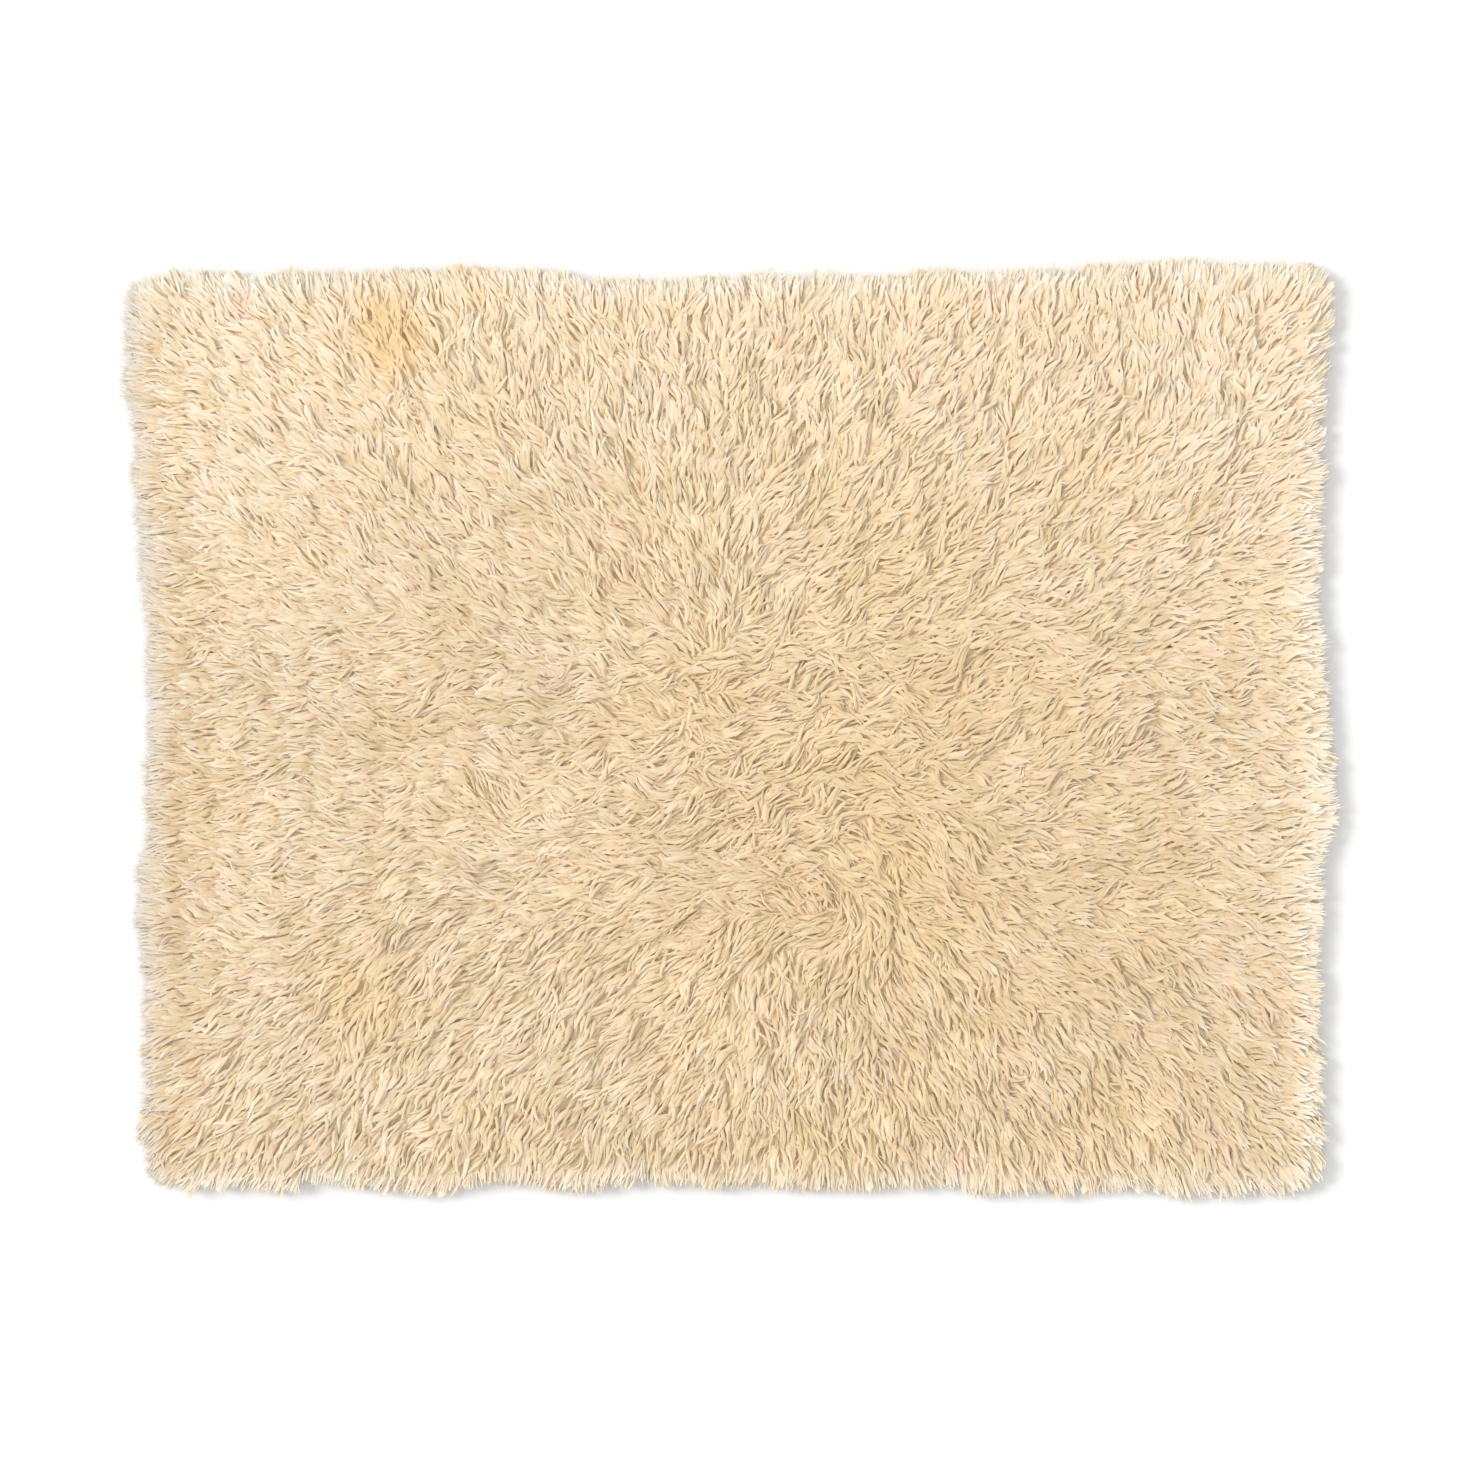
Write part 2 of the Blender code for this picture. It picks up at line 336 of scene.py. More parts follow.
PARTING_START = np.array([-0.05, 0.12])
PARTING_END = np.array([0.171, -0.299])
PARTING_BEND = -0.09  # how far the parting's middle bows out
COMB_POWER = 0.72  # under 1, the pile turns more to the nearer side's square
COMB_LONG = 0.86
COWLICKS = (
    # x, y, how far it reaches, and how far it turns the combing, in degrees
    (0.76, 0.66, 0.20, 33),
    (0.56, 0.62, 0.10, 15),
    (0.27, 0.71, 0.09, 20),
    (-0.43, 0.62, 0.09, -18),
    (-0.33, 0.35, 0.07, 40),
    (-0.05, 0.21, 0.10, 35),
    (0.08, 0.28, 0.09, -30),
    (-0.13, 0.07, 0.06, -28),
    (-0.41, -0.11, 0.08, -30),
    (0.10, -0.10, 0.12, 50),
    (0.51, 0.00, 0.14, 38),
    (0.38, -0.20, 0.12, -40),
    (0.20, -0.29, 0.12, -58),
    (-0.56, -0.33, 0.12, 25),
    (-0.18, -0.27, 0.10, 18),
    (-0.62, -0.46, 0.07, 20),
    (-0.13, -0.54, 0.12, -20),
    (0.12, -0.46, 0.09, 20),
    (-0.90, -0.40, 0.15, -24),
    (-0.92, 0.59, 0.10, 20),
    (-0.93, 0.45, 0.20, 20),
    (0.86, 0.21, 0.09, -20),
)
RUFFLES = (
    # how long and how strong, in degrees, the unevenness of the combing is, and its draw
    (0.22, 7, 31),
    (0.09, 7, 32),
    (0.05, 9, 34),
)
TANGLE_PLACE = np.array([0.06, 0.0])  # where the pile is most tangled
TANGLE_REACH = np.array([0.50, 0.26])
TANGLE_TURN = 30
TANGLE_SIZE = 0.085
FAN_REACH = 0.11  # from this far inside the tips, the pile turns outwards
FAN_SHARE = 0.6


def ease(share):
    """A smooth step from 0 to 1."""
    share = np.clip(share, 0, 1)
    return share * share * (3 - 2 * share)


def parting_root(points):
    """The place of the bent parting that each point's pile is combed away from: the one level with it."""
    run = np.clip((points[..., 1] - PARTING_START[1]) / (PARTING_END[1] - PARTING_START[1]), 0, 1)
    root = PARTING_START + (PARTING_END - PARTING_START) * run[..., None]
    root[..., 0] += PARTING_BEND * 4 * run * (1 - run)
    return root


def lie(points):
    """The angle the pile is combed in: away from the bent parting, with cowlicks, ruffles and a tangle."""
    root = parting_root(points)
    away = (points - root) / (HALF - np.sign(points - root) * root)
    squared = np.sign(away) * np.abs(away) ** COMB_POWER
    angle = np.arctan2(squared[..., 1], squared[..., 0] * COMB_LONG)
    for x, y, reach, turn in COWLICKS:
        near = np.exp(-((points[..., 0] - x) ** 2 + (points[..., 1] - y) ** 2) / reach**2)
        angle += math.radians(turn) * near
    for long, turn, seed in RUFFLES:
        angle += math.radians(turn) * noise(points, long, seed)
    tangled = np.exp(-(((points - TANGLE_PLACE) / TANGLE_REACH) ** 2).sum(-1))
    return angle + math.radians(TANGLE_TURN) * tangled * noise(points, TANGLE_SIZE, 33)


def way_at(points, turn):
    """The unit vector in which a lock runs on: the combing turned by that much, and fanned out at the rim."""
    angle = lie(points) + turn
    across, upright = to_sides(points)
    out_x = np.sign(points[..., 0]) * np.clip(1 - across / FAN_REACH, 0, 1)
    out_y = np.sign(points[..., 1]) * np.clip(1 - upright / FAN_REACH, 0, 1)
    way = np.stack([np.cos(angle) + FAN_SHARE * out_x, np.sin(angle) + FAN_SHARE * out_y], axis=-1)
    return way / np.linalg.norm(way, axis=-1, keepdims=True)


STRAND_SIDES = 3
SECTION_ANGLES = np.radians([90, 210, 330])  # where the three points of a strand's section lie
CELL_MARGIN = 0.06  # of the cell that a lock has in the map with a cell for each
SOFTNESS = 0.68  # how far the locks' upper sides are shaded as if they faced up, since wool scatters light
SOFTNESS_FAR_AND_SIDES = (0.12, 0.08)  # how much further at the far side, and at the left and right
SOFTER = (
    # x, y, how far it reaches, and how much further there, or less far
    (0.62, 0.36, 0.420, 0.17),
    (0.70, -0.10, 0.300, 0.06),
    (0.00, -0.06, 0.300, -0.12),
)
MOST_SOFTNESS = 0.96


def strand_faces(rings):
    """One lock's faces by its own points, three to a ring and one at the tip.

    Gives the corners, the sizes of the faces, and for each corner its place round and along, and whether its
    face is an upper one.
    """
    corners, sizes, around, along, upper = [], [], [], [], []
    for ring in range(rings - 1):
        for side in range(STRAND_SIDES):
            after = (side + 1) % STRAND_SIDES
            low, high = ring * STRAND_SIDES, (ring + 1) * STRAND_SIDES
            corners += [low + side, low + after, high + after, high + side]
            around += [side, side + 1, side + 1, side]
            along += [ring, ring, ring + 1, ring + 1]
            upper += [side != 1] * 4
            sizes.append(4)
    last = (rings - 1) * STRAND_SIDES
    for side in range(STRAND_SIDES):
        corners += [last + side, last + (side + 1) % STRAND_SIDES, last + STRAND_SIDES]
        around += [side, side + 1, side + 0.5]
        along += [rings - 1, rings - 1, rings]
        upper += [side != 1] * 3
        sizes.append(3)
    corners += [2, 1, 0]
    around += [2, 1, 0]
    along += [0, 0, 0]
    upper += [False] * 3
    sizes.append(3)
    turn = np.array(around) / STRAND_SIDES
    return np.array(corners), np.array(sizes), turn, np.array(along), np.array(upper)


def strand_points(locks, kind):
    """Every lock's points, a three-sided section carried along its middle line and its tip, and its normals.

    At each station the section's points lie round the line at their angles plus the lock's roll. Its width
    runs across the way and its thickness upwards. The first normals are those of the upper sides and the
    second those of the lower side, one of each for every point.
    """
    middle, ways = locks["middle"], locks["ways"]
    rings = middle.shape[1] - 1
    ahead = np.gradient(middle, axis=1)
    ahead /= np.linalg.norm(ahead, axis=-1, keepdims=True)
    side = np.stack([-ways[..., 1], ways[..., 0], np.zeros(ways.shape[:2])], axis=-1)
    up = np.cross(ahead, side)
    up /= np.linalg.norm(up, axis=-1, keepdims=True)
    side = np.cross(up, ahead)
    angles = SECTION_ANGLES[None, None, :] + locks["roll"][:, :rings, None]
    broad = (locks["width"][:, None] * kind["shape"][None, :rings] / 2)[..., None, None]
    thick = (locks["thickness"][:, None] * kind["shape"][None, :rings] / 2)[..., None, None]
    sideways = side[:, :rings, None] * np.cos(angles)[..., None]
    upwards = up[:, :rings, None] * np.sin(angles)[..., None]
    around = middle[:, :rings, None] + sideways * broad + upwards * thick
    outward = sideways + upwards
    softness = locks["softness"][:, None, None, None]
    soft = outward * (1 - softness) + np.array([0, 0, 1]) * softness
    soft /= np.linalg.norm(soft, axis=-1, keepdims=True)
    under = np.repeat(-outward[:, :, :1], STRAND_SIDES, axis=2)
    tip = np.array([0.0, 0.0, 1.0])[None, None, :].repeat(len(middle), axis=0)
    points = np.concatenate([around.reshape(len(middle), -1, 3), middle[:, -1:, :]], axis=1)
    above = np.concatenate([soft.reshape(len(middle), -1, 3), tip], axis=1)
    below = np.concatenate([under.reshape(len(middle), -1, 3), -tip], axis=1)
    return points, above, below


def lock_piece(name, locks, kind, material):
    """One mesh of many locks, with a map round and along each, and a second map with a cell for each."""
    stations = kind["stations"]
    count, rings = len(locks["middle"]), len(stations) - 1
    points, above, below = strand_points(locks, kind)
    corners, sizes, turn, ring, upper = strand_faces(rings)
    per_lock = points.shape[1]
    loops = (corners[None, :] + per_lock * np.arange(count)[:, None]).ravel()
    every_size = np.tile(sizes, count)
    mesh = bpy.data.meshes.new(name)
    mesh.vertices.add(count * per_lock)
    mesh.vertices.foreach_set("co", points.astype(np.float32).ravel())
    mesh.loops.add(len(loops))
    mesh.loops.foreach_set("vertex_index", loops.astype(np.int32))
    mesh.polygons.add(len(every_size))
    starts = np.concatenate([[0], np.cumsum(every_size)[:-1]])
    mesh.polygons.foreach_set("loop_start", starts.astype(np.int32))
    mesh.update(calc_edges=True)
    normals = np.where(upper[None, :, None], above[:, corners], below[:, corners]).astype(np.float32)
    mesh.attributes.new("custom_normal", "FLOAT_VECTOR", "CORNER").data.foreach_set("vector", normals.ravel())
    ends = np.empty(2 * len(mesh.edges), np.int32)
    mesh.edges.foreach_get("vertices", ends)
    ends = np.sort(ends.reshape(-1, 2) % per_lock, axis=1)
    first, last = ends[:, 0], ends[:, 1]
    lengthwise = first // STRAND_SIDES != last // STRAND_SIDES
    sharp = (lengthwise & (first % STRAND_SIDES != 0)) | (last < STRAND_SIDES)
    mesh.attributes.new("sharp_edge", "BOOLEAN", "EDGE").data.foreach_set("value", sharp)
    share = stations[ring]
    wool_map = np.stack([np.tile(turn, count), np.tile(share, count)], axis=-1)
    mesh.uv_layers.new(name="wool").data.foreach_set("uv", wool_map.astype(np.float32).ravel())
    cells = math.ceil(math.sqrt(count))
    column, row = np.arange(count) % cells, np.arange(count) // cells
    inner = 1 - 2 * CELL_MARGIN
    cell_u = (column[:, None] + CELL_MARGIN + inner * turn[None, :]) / cells
    cell_v = (row[:, None] + CELL_MARGIN + inner * share[None, :]) / cells
    cell_map = np.stack([cell_u, cell_v], axis=-1)
    mesh.uv_layers.new(name="OFBake").data.foreach_set("uv", cell_map.astype(np.float32).ravel())
    for value_name in ("tone", "ochre", "pale", "tint", "grey"):
        values = np.repeat(locks[value_name], per_lock).astype(np.float32)
        mesh.attributes.new(value_name, "FLOAT", "POINT").data.foreach_set("value", values)
    along = np.concatenate([np.repeat(stations[:rings], STRAND_SIDES), stations[-1:]])
    every_along = np.tile(along, count).astype(np.float32)
    mesh.attributes.new("along", "FLOAT", "POINT").data.foreach_set("value", every_along)
    mesh.materials.append(material)
    mesh.shade_smooth()
    piece = bpy.data.objects.new(name, mesh)
    bpy.context.scene.collection.objects.link(piece)
    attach(piece, "root")
    return piece


STAINS = (
    # x, y, how far it reaches, and how strong it is
    (-0.53, 0.61, 0.050, 1.0),
    (-0.57, 0.66, 0.035, 0.8),
    (-0.41, 0.72, 0.050, 0.6),
    (-0.60, -0.42, 0.060, 0.45),
    (0.28, -0.18, 0.070, 0.18),
    (-0.50, 0.52, 0.160, 0.15),
    (0.28, 0.25, 0.400, 0.19),
    (0.20, -0.30, 0.380, 0.18),
)
PATCH_SIZE = 0.24
PATCH_STRENGTH = 0.06
DARKER_PATCHES = (
    # x, y, how far it reaches, and how much darker the pile's tone is there
    (0.85, -0.55, 0.450, 0.28),
    (0.60, -0.34, 0.250, 0.11),
    (0.25, -0.32, 0.340, 0.10),
    (0.16, -0.15, 0.220, 0.20),
    (-0.85, -0.28, 0.350, 0.15),
    (-0.46, 0.14, 0.220, 0.14),
    (0.32, 0.00, 0.140, 0.16),
    (0.61, 0.14, 0.150, 0.14),
)
FAR_AND_SIDE_TONES = (0.64, 0.24)  # how much lighter the wool is at the far side, and at the left and right
FAR_AND_SIDE_PALES = (0.36, 0.60)  # and how much paler
FAR_AND_SIDE_POWERS = (1.7, 2.5)  # how steeply both of these grow on the way there
PALER = (
    # x, y, how far it reaches, and how much paler the tips are there besides
    (-0.95, 0.12, 0.500, 0.35),
    (-0.52, 0.68, 0.300, 0.20),
    (-0.22, -0.25, 0.200, 0.20),
)
EDGE_REACHES = (0.110, 0.045, 0.022, 0.040)  # how near to the left, right, near and far tips the pile changes
EDGE_PALES = (0.30, 2.10, 0.50, 2.60)  # and how much paler it is there: partly the wool's pale ends, partly painted light, most at the right and far tips
# Painted light and shade at the rim: the tone is lowered at the left tips as shade, and raised at the right,
# near and far tips as light to offset the shade among them.
EDGE_TONES = (-0.60, 0.60, 0.30, 0.70)
EDGE_SOFTNESS = (0.06, 0.22, 0.18, 0.27)
LEFT_SHADE_REACH = 0.045  # how near to the left tips the wool is painted grey, as painted shade over the left fringe


def patches(points, table):
    """The sum of a table's round patches at a place: each is its strength times a bell of its reach."""
    x, y = points[..., 0], points[..., 1]
    return sum(strong * np.exp(-((x - u) ** 2 + (y - v) ** 2) / reach**2) for u, v, reach, strong in table)


def ochre(points):
    """How ochre the wool is at a place, from 0 to 1: the stains, and broad faint patches."""
    return np.clip(PATCH_STRENGTH * (1 + noise(points, PATCH_SIZE, 41)) + patches(points, STAINS), 0, 1)


def far_and_side_share(points, strengths):
    """How much of the given strengths a place gets: it grows towards the far side, and towards the left and
    right.
    """
    x, y = points[..., 0] / HALF[0], points[..., 1] / HALF[1]
    far, aside = FAR_AND_SIDE_POWERS
    return strengths[0] * np.clip(y, 0, 1) ** far + strengths[1] * np.abs(x) ** aside


def at_edges(points, strengths):
    """The sum of the four sides' strengths at a place, each growing smoothly over its reach to the tips."""
    x, y = points[..., 0], points[..., 1]
    inside = np.stack([x - left_side(y), right_side(y) - x, y - near_side(x), far_side(x) - y], axis=-1)
    return (ease(1 - inside / np.array(EDGE_REACHES)) * np.array(strengths)).sum(-1)


CRIMPS = 2.4  # in a lock's length
CRIMP_SHARE = 0.8
FIBRES = (9.0, 5.0)  # how fine they are round a lock and along it
FIBRE_STRENGTH = 0.20
TONE_SHIFT = 40.0  # sets the fibres and crimps of locks of different tones apart
OCHRE_STRENGTH = 0.85


def lock_material():
    """Combed wool, tan at the root and cream at the tip, in each lock's tone and tint, and fibrous.

    The tan at the root is partly painted shade deep in the pile, the grey at the left tips is painted shade,
    and the rim's tones and paler tips hold painted light and shade.
    """
    material, dye = new_material("combed_wool")

    def value(name):
        return dye.add("ShaderNodeAttribute", {"attribute_name": name}, out=2)

    along, tone, warm = value("along"), value("tone"), value("ochre")
    pale, tint, grey = value("pale"), value("tint"), value("grey")
    # Tan at the root and cream at the tip: partly the wool's own colour, partly painted shade deep in the
    # pile.
    length = [
        (0.00, (0.96, 0.69, 0.385)),
        (0.25, (0.950, 0.765, 0.53)),
        (0.55, (0.95, 0.81, 0.60)),
        (1.00, (0.96, 0.855, 0.68)),
    ]
    wool = dye.add("ShaderNodeValToRGB", {"stops": length}, {0: along})
    tones = [(0.0, (0.730, 0.665, 0.555)), (0.5, (0.855, 0.828, 0.780)), (1.0, (0.965, 0.962, 0.957))]
    shade = dye.add("ShaderNodeValToRGB", {"stops": tones}, {0: tone})
    wool = wool.times(shade)
    tints = [(0.0, (0.91, 0.90, 0.80)), (0.5, (1.0, 1.0, 1.0)), (1.0, (1.0, 0.93, 0.96))]
    hue = dye.add("ShaderNodeValToRGB", {"stops": tints}, {0: tint})
    wool = wool.times(hue)
    tipward = along * along
    # Paler towards the tips: partly the wool's pale ends, partly painted light at the rim.
    wool = (pale * tipward * tipward).mix(wool, (0.99, 0.96, 0.87))
    # Painted shade: the tips near the left edge are mixed towards grey, for the shade over the left fringe.
    wool = (grey * tipward * along).mix(wool, (0.72, 0.70, 0.68))
    wool = (warm * OCHRE_STRENGTH).mix(wool, (0.90, 0.63, 0.30))
    around = dye.add("ShaderNodeUVMap", {"uv_map": "wool"})
    strand = {0: around.part(0) * FIBRES[0], 1: around.part(1) * FIBRES[1], 2: tone * TONE_SHIFT}
    fibre_place = dye.add("ShaderNodeCombineXYZ", {}, strand)
    fibre = dye.add("ShaderNodeTexNoise", {}, {"Vector": fibre_place, "Scale": 1.0, "Detail": 2.0})
    wool = (fibre * FIBRE_STRENGTH).mix(wool, (0.82, 0.66, 0.45))
    crimp = dye.maths("SINE", around.part(1) * CRIMPS * math.tau + tone * TONE_SHIFT)
    relief = fibre + crimp * CRIMP_SHARE
    bump = dye.add("ShaderNodeBump", {}, {"Strength": 0.4, "Distance": 0.0006, "Height": relief})
    wool_surface(dye, {"Base Color": wool, "Normal": bump})
    return material


combed_wool = lock_material()

UPPER = {
    "pitch": 0.0101,  # between neighbours' middles
    "inset": 0.025,  # from the line of the tips to the outermost middles
    "length": 0.049,
    "width": 0.0062,
    "thickness": 0.0027,
    "stations": np.array([0.0, 0.28, 0.56, 0.82, 1.0]),
    "shape": np.array([0.75, 1.0, 0.92, 0.62, 0.0]),  # the width at each station, as a share of the greatest
    "lift": 0.0044,  # how far over the mat it lies
    "uneven": 0.0015,  # how much that varies from lock to lock
    "tone": 0.42,
    "pale": 0.0,
}
UNDER = {
    "pitch": 0.0225,
    "inset": 0.036,
    "length": 0.048,
    "width": 0.0120,
    "thickness": 0.0050,
    "stations": np.array([0.0, 0.30, 0.68, 1.0]),
    "shape": np.array([0.70, 1.0, 0.80, 0.0]),
    "lift": 0.0036,
    "uneven": 0.0008,
    "tone": 0.42,
    "pale": 0.0,
}
JITTER = 0.48  # how far a lock's middle is shaken off the lattice, as a share of the pitch
LENGTHS = (0.75, 1.25)  # the least and the greatest, as shares of those of the lock's kind
WIDTHS = (0.62, 1.45)
THICKNESSES = (0.8, 1.2)
LIFTS = (0.3, 2.0)
TIP_MARGINS = (-0.001, 0.015)  # how far inside the line of the tips a lock of the field has to end
LEAST_LEFT = 0.4  # of its length, where it is made shorter for that
ROOT_DEPTH = 0.005  # how far under the mat's top a lock starts
RISEN_AT = 0.34  # the share of its length by which it has risen
TIP_DROP = 0.0018
DROPS_FROM = 0.5
ROLL = 14  # how far a lock is rolled at its root, in degrees
TWIST = 26  # and how much further at its tip
TONE_ALONE = 0.15  # how much a lock's tone differs from its neighbours'
TINT_ALONE = 0.15
CURL = 34  # how far a lock bends along its length, in degrees, with its neighbours
CURL_SIZE = 0.050
CURL_ALONE = 34  # and by itself
TURN_ALONE = 11
MOST_TURN = math.radians(45)  # that the combing may turn a lock from its middle to its tip
GATHER = 0.0060  # how far neighbouring tips draw together sideways
GATHER_SIZE = 0.034
LIFT_SWELL = 0.0022  # how much higher some clumps lie than others
LIFT_SWELL_SIZE = 0.040
PARTING_REACH = 0.040  # within this of the parting the locks lie every way
PARTING_TURN = 28
FIELD_COLUMNS = 3
FIELD_ROWS = 2
CLUMP_TONES = (
    # how large the clumps of lighter and darker wool are, and by how much of the tone, and their draw
    (0.045, 0.11, 43),
    (0.120, 0.06, 45),
    (0.350, 0.04, 42),
)
CLUMP_HUES = (
    # the same for the clumps of greener and pinker wool
    (0.050, 0.12, 44),
    (0.130, 0.10, 46),
)


def lattice(pitch, inset, draw):
    """Places on a close triangular lattice, shaken, inside the line of the tips."""
    row_pitch = pitch * math.sqrt(3) / 2
    columns, rows = int(2 * HALF[0] / pitch) + 1, int(2 * HALF[1] / row_pitch) + 1
    step, row = np.meshgrid(np.arange(columns), np.arange(rows))
    x = (step + 0.5 * (row % 2) - columns / 2) * pitch
    y = (row - rows / 2) * row_pitch
    places = np.stack([x.ravel(), y.ravel()], axis=-1)
    places = places + draw.uniform(-1, 1, places.shape) * pitch * JITTER
    return places[room(places) > inset]


def walk(middle, length, stations, turn, curl):
    """Each lock's line on the plan, and its way at each station.

    From its middle the lock runs back straight but for its curl, and runs on along the combing. Its curl
    turns it evenly with the distance from the middle.
    """
    half = (stations[0] + stations[-1]) / 2
    base = way_at(middle, turn)
    base_angle = np.arctan2(base[:, 1], base[:, 0])
    line, ways = [], []
    before, place = half, middle
    for share in stations:
        angle = base_angle + curl * (share - half)
        way = np.stack([np.cos(angle), np.sin(angle)], axis=-1)
        if share <= half:
            back = base_angle + curl * (share - half) / 2
            chord = np.stack([np.cos(back), np.sin(back)], axis=-1)
            line.append(middle - chord * (length * (half - share))[:, None])
        else:
            combed = way_at(place, turn)
            turned = np.arctan2(combed[:, 1], combed[:, 0]) - base_angle
            turned = np.clip((turned + math.pi) % math.tau - math.pi, -MOST_TURN, MOST_TURN)
            angle = base_angle + turned + curl * ((share + before) / 2 - half)
            way = np.stack([np.cos(angle), np.sin(angle)], axis=-1)
            place = place + way * (length * (share - before))[:, None]
            before = share
            line.append(place)
        ways.append(way)
    return np.stack(line, axis=1), np.stack(ways, axis=1)


def finish(locks, kind, draw):
    """Adds the sizes, the roll and the tones of locks whose middle lines are laid."""
    start, tip = locks["middle"][:, 0, :2], locks["middle"][:, -1, :2]
    count = len(start)
    locks["width"] = kind["width"] * draw.uniform(*WIDTHS, count)
    locks["thickness"] = kind["thickness"] * draw.uniform(*THICKNESSES, count)
    roll = draw.normal(0, ROLL, (count, 1)) + draw.normal(0, TWIST, (count, 1)) * kind["stations"]
    locks["roll"] = np.radians(roll)
    clump = sum(strong * noise(start, size, seed) for size, strong, seed in CLUMP_TONES)
    # At the tips the tone also takes the rim's painted light and shade.
    tone = kind["tone"] + far_and_side_share(start, FAR_AND_SIDE_TONES) - patches(start, DARKER_PATCHES) + at_edges(tip, EDGE_TONES)
    locks["tone"] = np.clip(tone + clump + draw.normal(0, TONE_ALONE, count), 0, 1)
    hue = sum(strong * noise(start, size, seed) for size, strong, seed in CLUMP_HUES)
    locks["tint"] = np.clip(0.5 + hue + draw.normal(0, TINT_ALONE, count), 0, 1)
    locks["ochre"] = ochre(start)
    pale = kind["pale"] + far_and_side_share(start, FAR_AND_SIDE_PALES) + patches(start, PALER)
    # The rim's paler tips are partly painted light.
    locks["pale"] = pale + at_edges(tip, EDGE_PALES)
    # Painted shade: how far into the grey painted along the left tips each lock reaches.
    locks["grey"] = ease(1 - (tip[:, 0] - left_side(tip[:, 1])) / LEFT_SHADE_REACH)
    softer_here = far_and_side_share(start, SOFTNESS_FAR_AND_SIDES) + patches(start, SOFTER)
    locks["softness"] = np.minimum(SOFTNESS + softer_here + at_edges(tip, EDGE_SOFTNESS), MOST_SOFTNESS)
    return locks


def field_locks(kind, seed):
    """The locks of one kind all over the field. One that would pass the rim is made shorter at both ends."""
    draw = np.random.default_rng(seed)
    middle = lattice(kind["pitch"], kind["inset"], draw)
    count = len(middle)
    stations = kind["stations"]
    length = kind["length"] * draw.uniform(*LENGTHS, count)
    astray = np.exp(-((np.linalg.norm(middle - parting_root(middle), axis=-1) / PARTING_REACH) ** 2))
    turn = np.radians(draw.normal(0, TURN_ALONE, count) + draw.normal(0, PARTING_TURN, count) * astray)
    curl = np.radians(CURL * noise(middle, CURL_SIZE, 51) + draw.normal(0, CURL_ALONE, count))
    margin = draw.uniform(*TIP_MARGINS, count)
    line, ways = walk(middle, length, stations, turn, curl)
    past = np.clip(margin - room(line[:, -1]), 0, None)
    length = np.maximum(length - 2 * past, LEAST_LEFT * length)
    line, ways = walk(middle, length, stations, turn, curl)
    side = np.stack([-ways[..., 1], ways[..., 0]], axis=-1)
    gathered = GATHER * noise(middle, GATHER_SIZE, 52)[:, None] * ease(stations)[None, :]
    flat = line + side * gathered[..., None]
    swell = LIFT_SWELL * noise(middle, LIFT_SWELL_SIZE, 53)
    above = kind["lift"] + swell + draw.normal(0, kind["uneven"], count)
    above = np.clip(above, LIFTS[0] * kind["lift"], LIFTS[1] * kind["lift"])[:, None]
    risen = 1 - (1 - np.clip(stations / RISEN_AT, 0, 1)) ** 2
    drop = TIP_DROP * ease((stations - DROPS_FROM) / (1 - DROPS_FROM))
    level = mat_height(flat) - ROOT_DEPTH + (ROOT_DEPTH + above) * risen - drop
    return finish({"middle": np.concatenate([flat, level[..., None]], axis=-1), "ways": ways}, kind, draw)


def some(locks, mine):
    """Those of the locks that are picked."""
    return {name: value[mine] for name, value in locks.items()}


def field_pieces():
    """The upper locks in one piece for each part of the field, since one mesh would be too heavy."""
    locks = field_locks(UPPER, 5)
    start = locks["middle"][:, 0, :2]
    column = np.clip(((start[:, 0] / HALF[0] + 1) / 2 * FIELD_COLUMNS).astype(int), 0, FIELD_COLUMNS - 1)
    row = np.clip(((start[:, 1] / HALF[1] + 1) / 2 * FIELD_ROWS).astype(int), 0, FIELD_ROWS - 1)
    whose = row * FIELD_COLUMNS + column
    parts = range(FIELD_COLUMNS * FIELD_ROWS)
    return [lock_piece(f"field_locks_{n + 1}", some(locks, whose == n), UPPER, combed_wool) for n in parts]


field = field_pieces()
under = lock_piece("under_locks", field_locks(UNDER, 6), UNDER, combed_wool)

# The locks of the rim. Past the edge of the cloth the pile stands out as a thick blunt brush that reaches
# down to the floor, of fine strands over broad ones. They follow the solid's own rim locks to their tips.

RIM = {
    "members": 15,  # strands that follow one of the solid's locks
    "length": 0.062,
    "width": 0.0048,
    "thickness": 0.0026,
    "stations": np.array([0.0, 0.30, 0.60, 0.88, 1.0]),
    "shape": np.array([0.75, 1.0, 0.92, 0.62, 0.0]),
    "beside": 0.0165,  # how far from the lock's line a strand may start
    "gather": 0.55,  # how much its tip is drawn to that of its clump, and how far it strays from there
    "cross": 0.0035,
    "short": 0.001,  # how far before the lock's tip a strand may end
    "past": 0.008,
    "lowest": -0.012,  # how high over the mat's line its lowest and its highest tips end
    "highest": 0.006,
    "evenly": 0.4,  # at 1 the tips end at every height alike, and under it more of them high than low
    "tone": 0.46,
    "pale": 0.05,
}
RIM_FILL = {
    "members": 10,
    "length": 0.056,
    "width": 0.0145,
    "thickness": 0.0036,
    "stations": np.array([0.0, 0.34, 0.86, 1.0]),
    "shape": np.array([0.8, 1.0, 0.82, 0.0]),
    "beside": 0.0165,
    "gather": 0.0,
    "cross": 0.0030,
    "short": 0.001,
    "past": 0.004,
    "lowest": -0.020,
    "highest": 0.003,
    "evenly": 0.7,
    "tone": 0.46,
    "pale": 0.10,
}
RIM_LOWEST = 0.0022  # above the floor
CLUMP_PITCH = 0.0075  # between the tips of the small clumps that a lock's strands draw together in
RIM_BOW = 0.0035  # how far a strand bows sideways
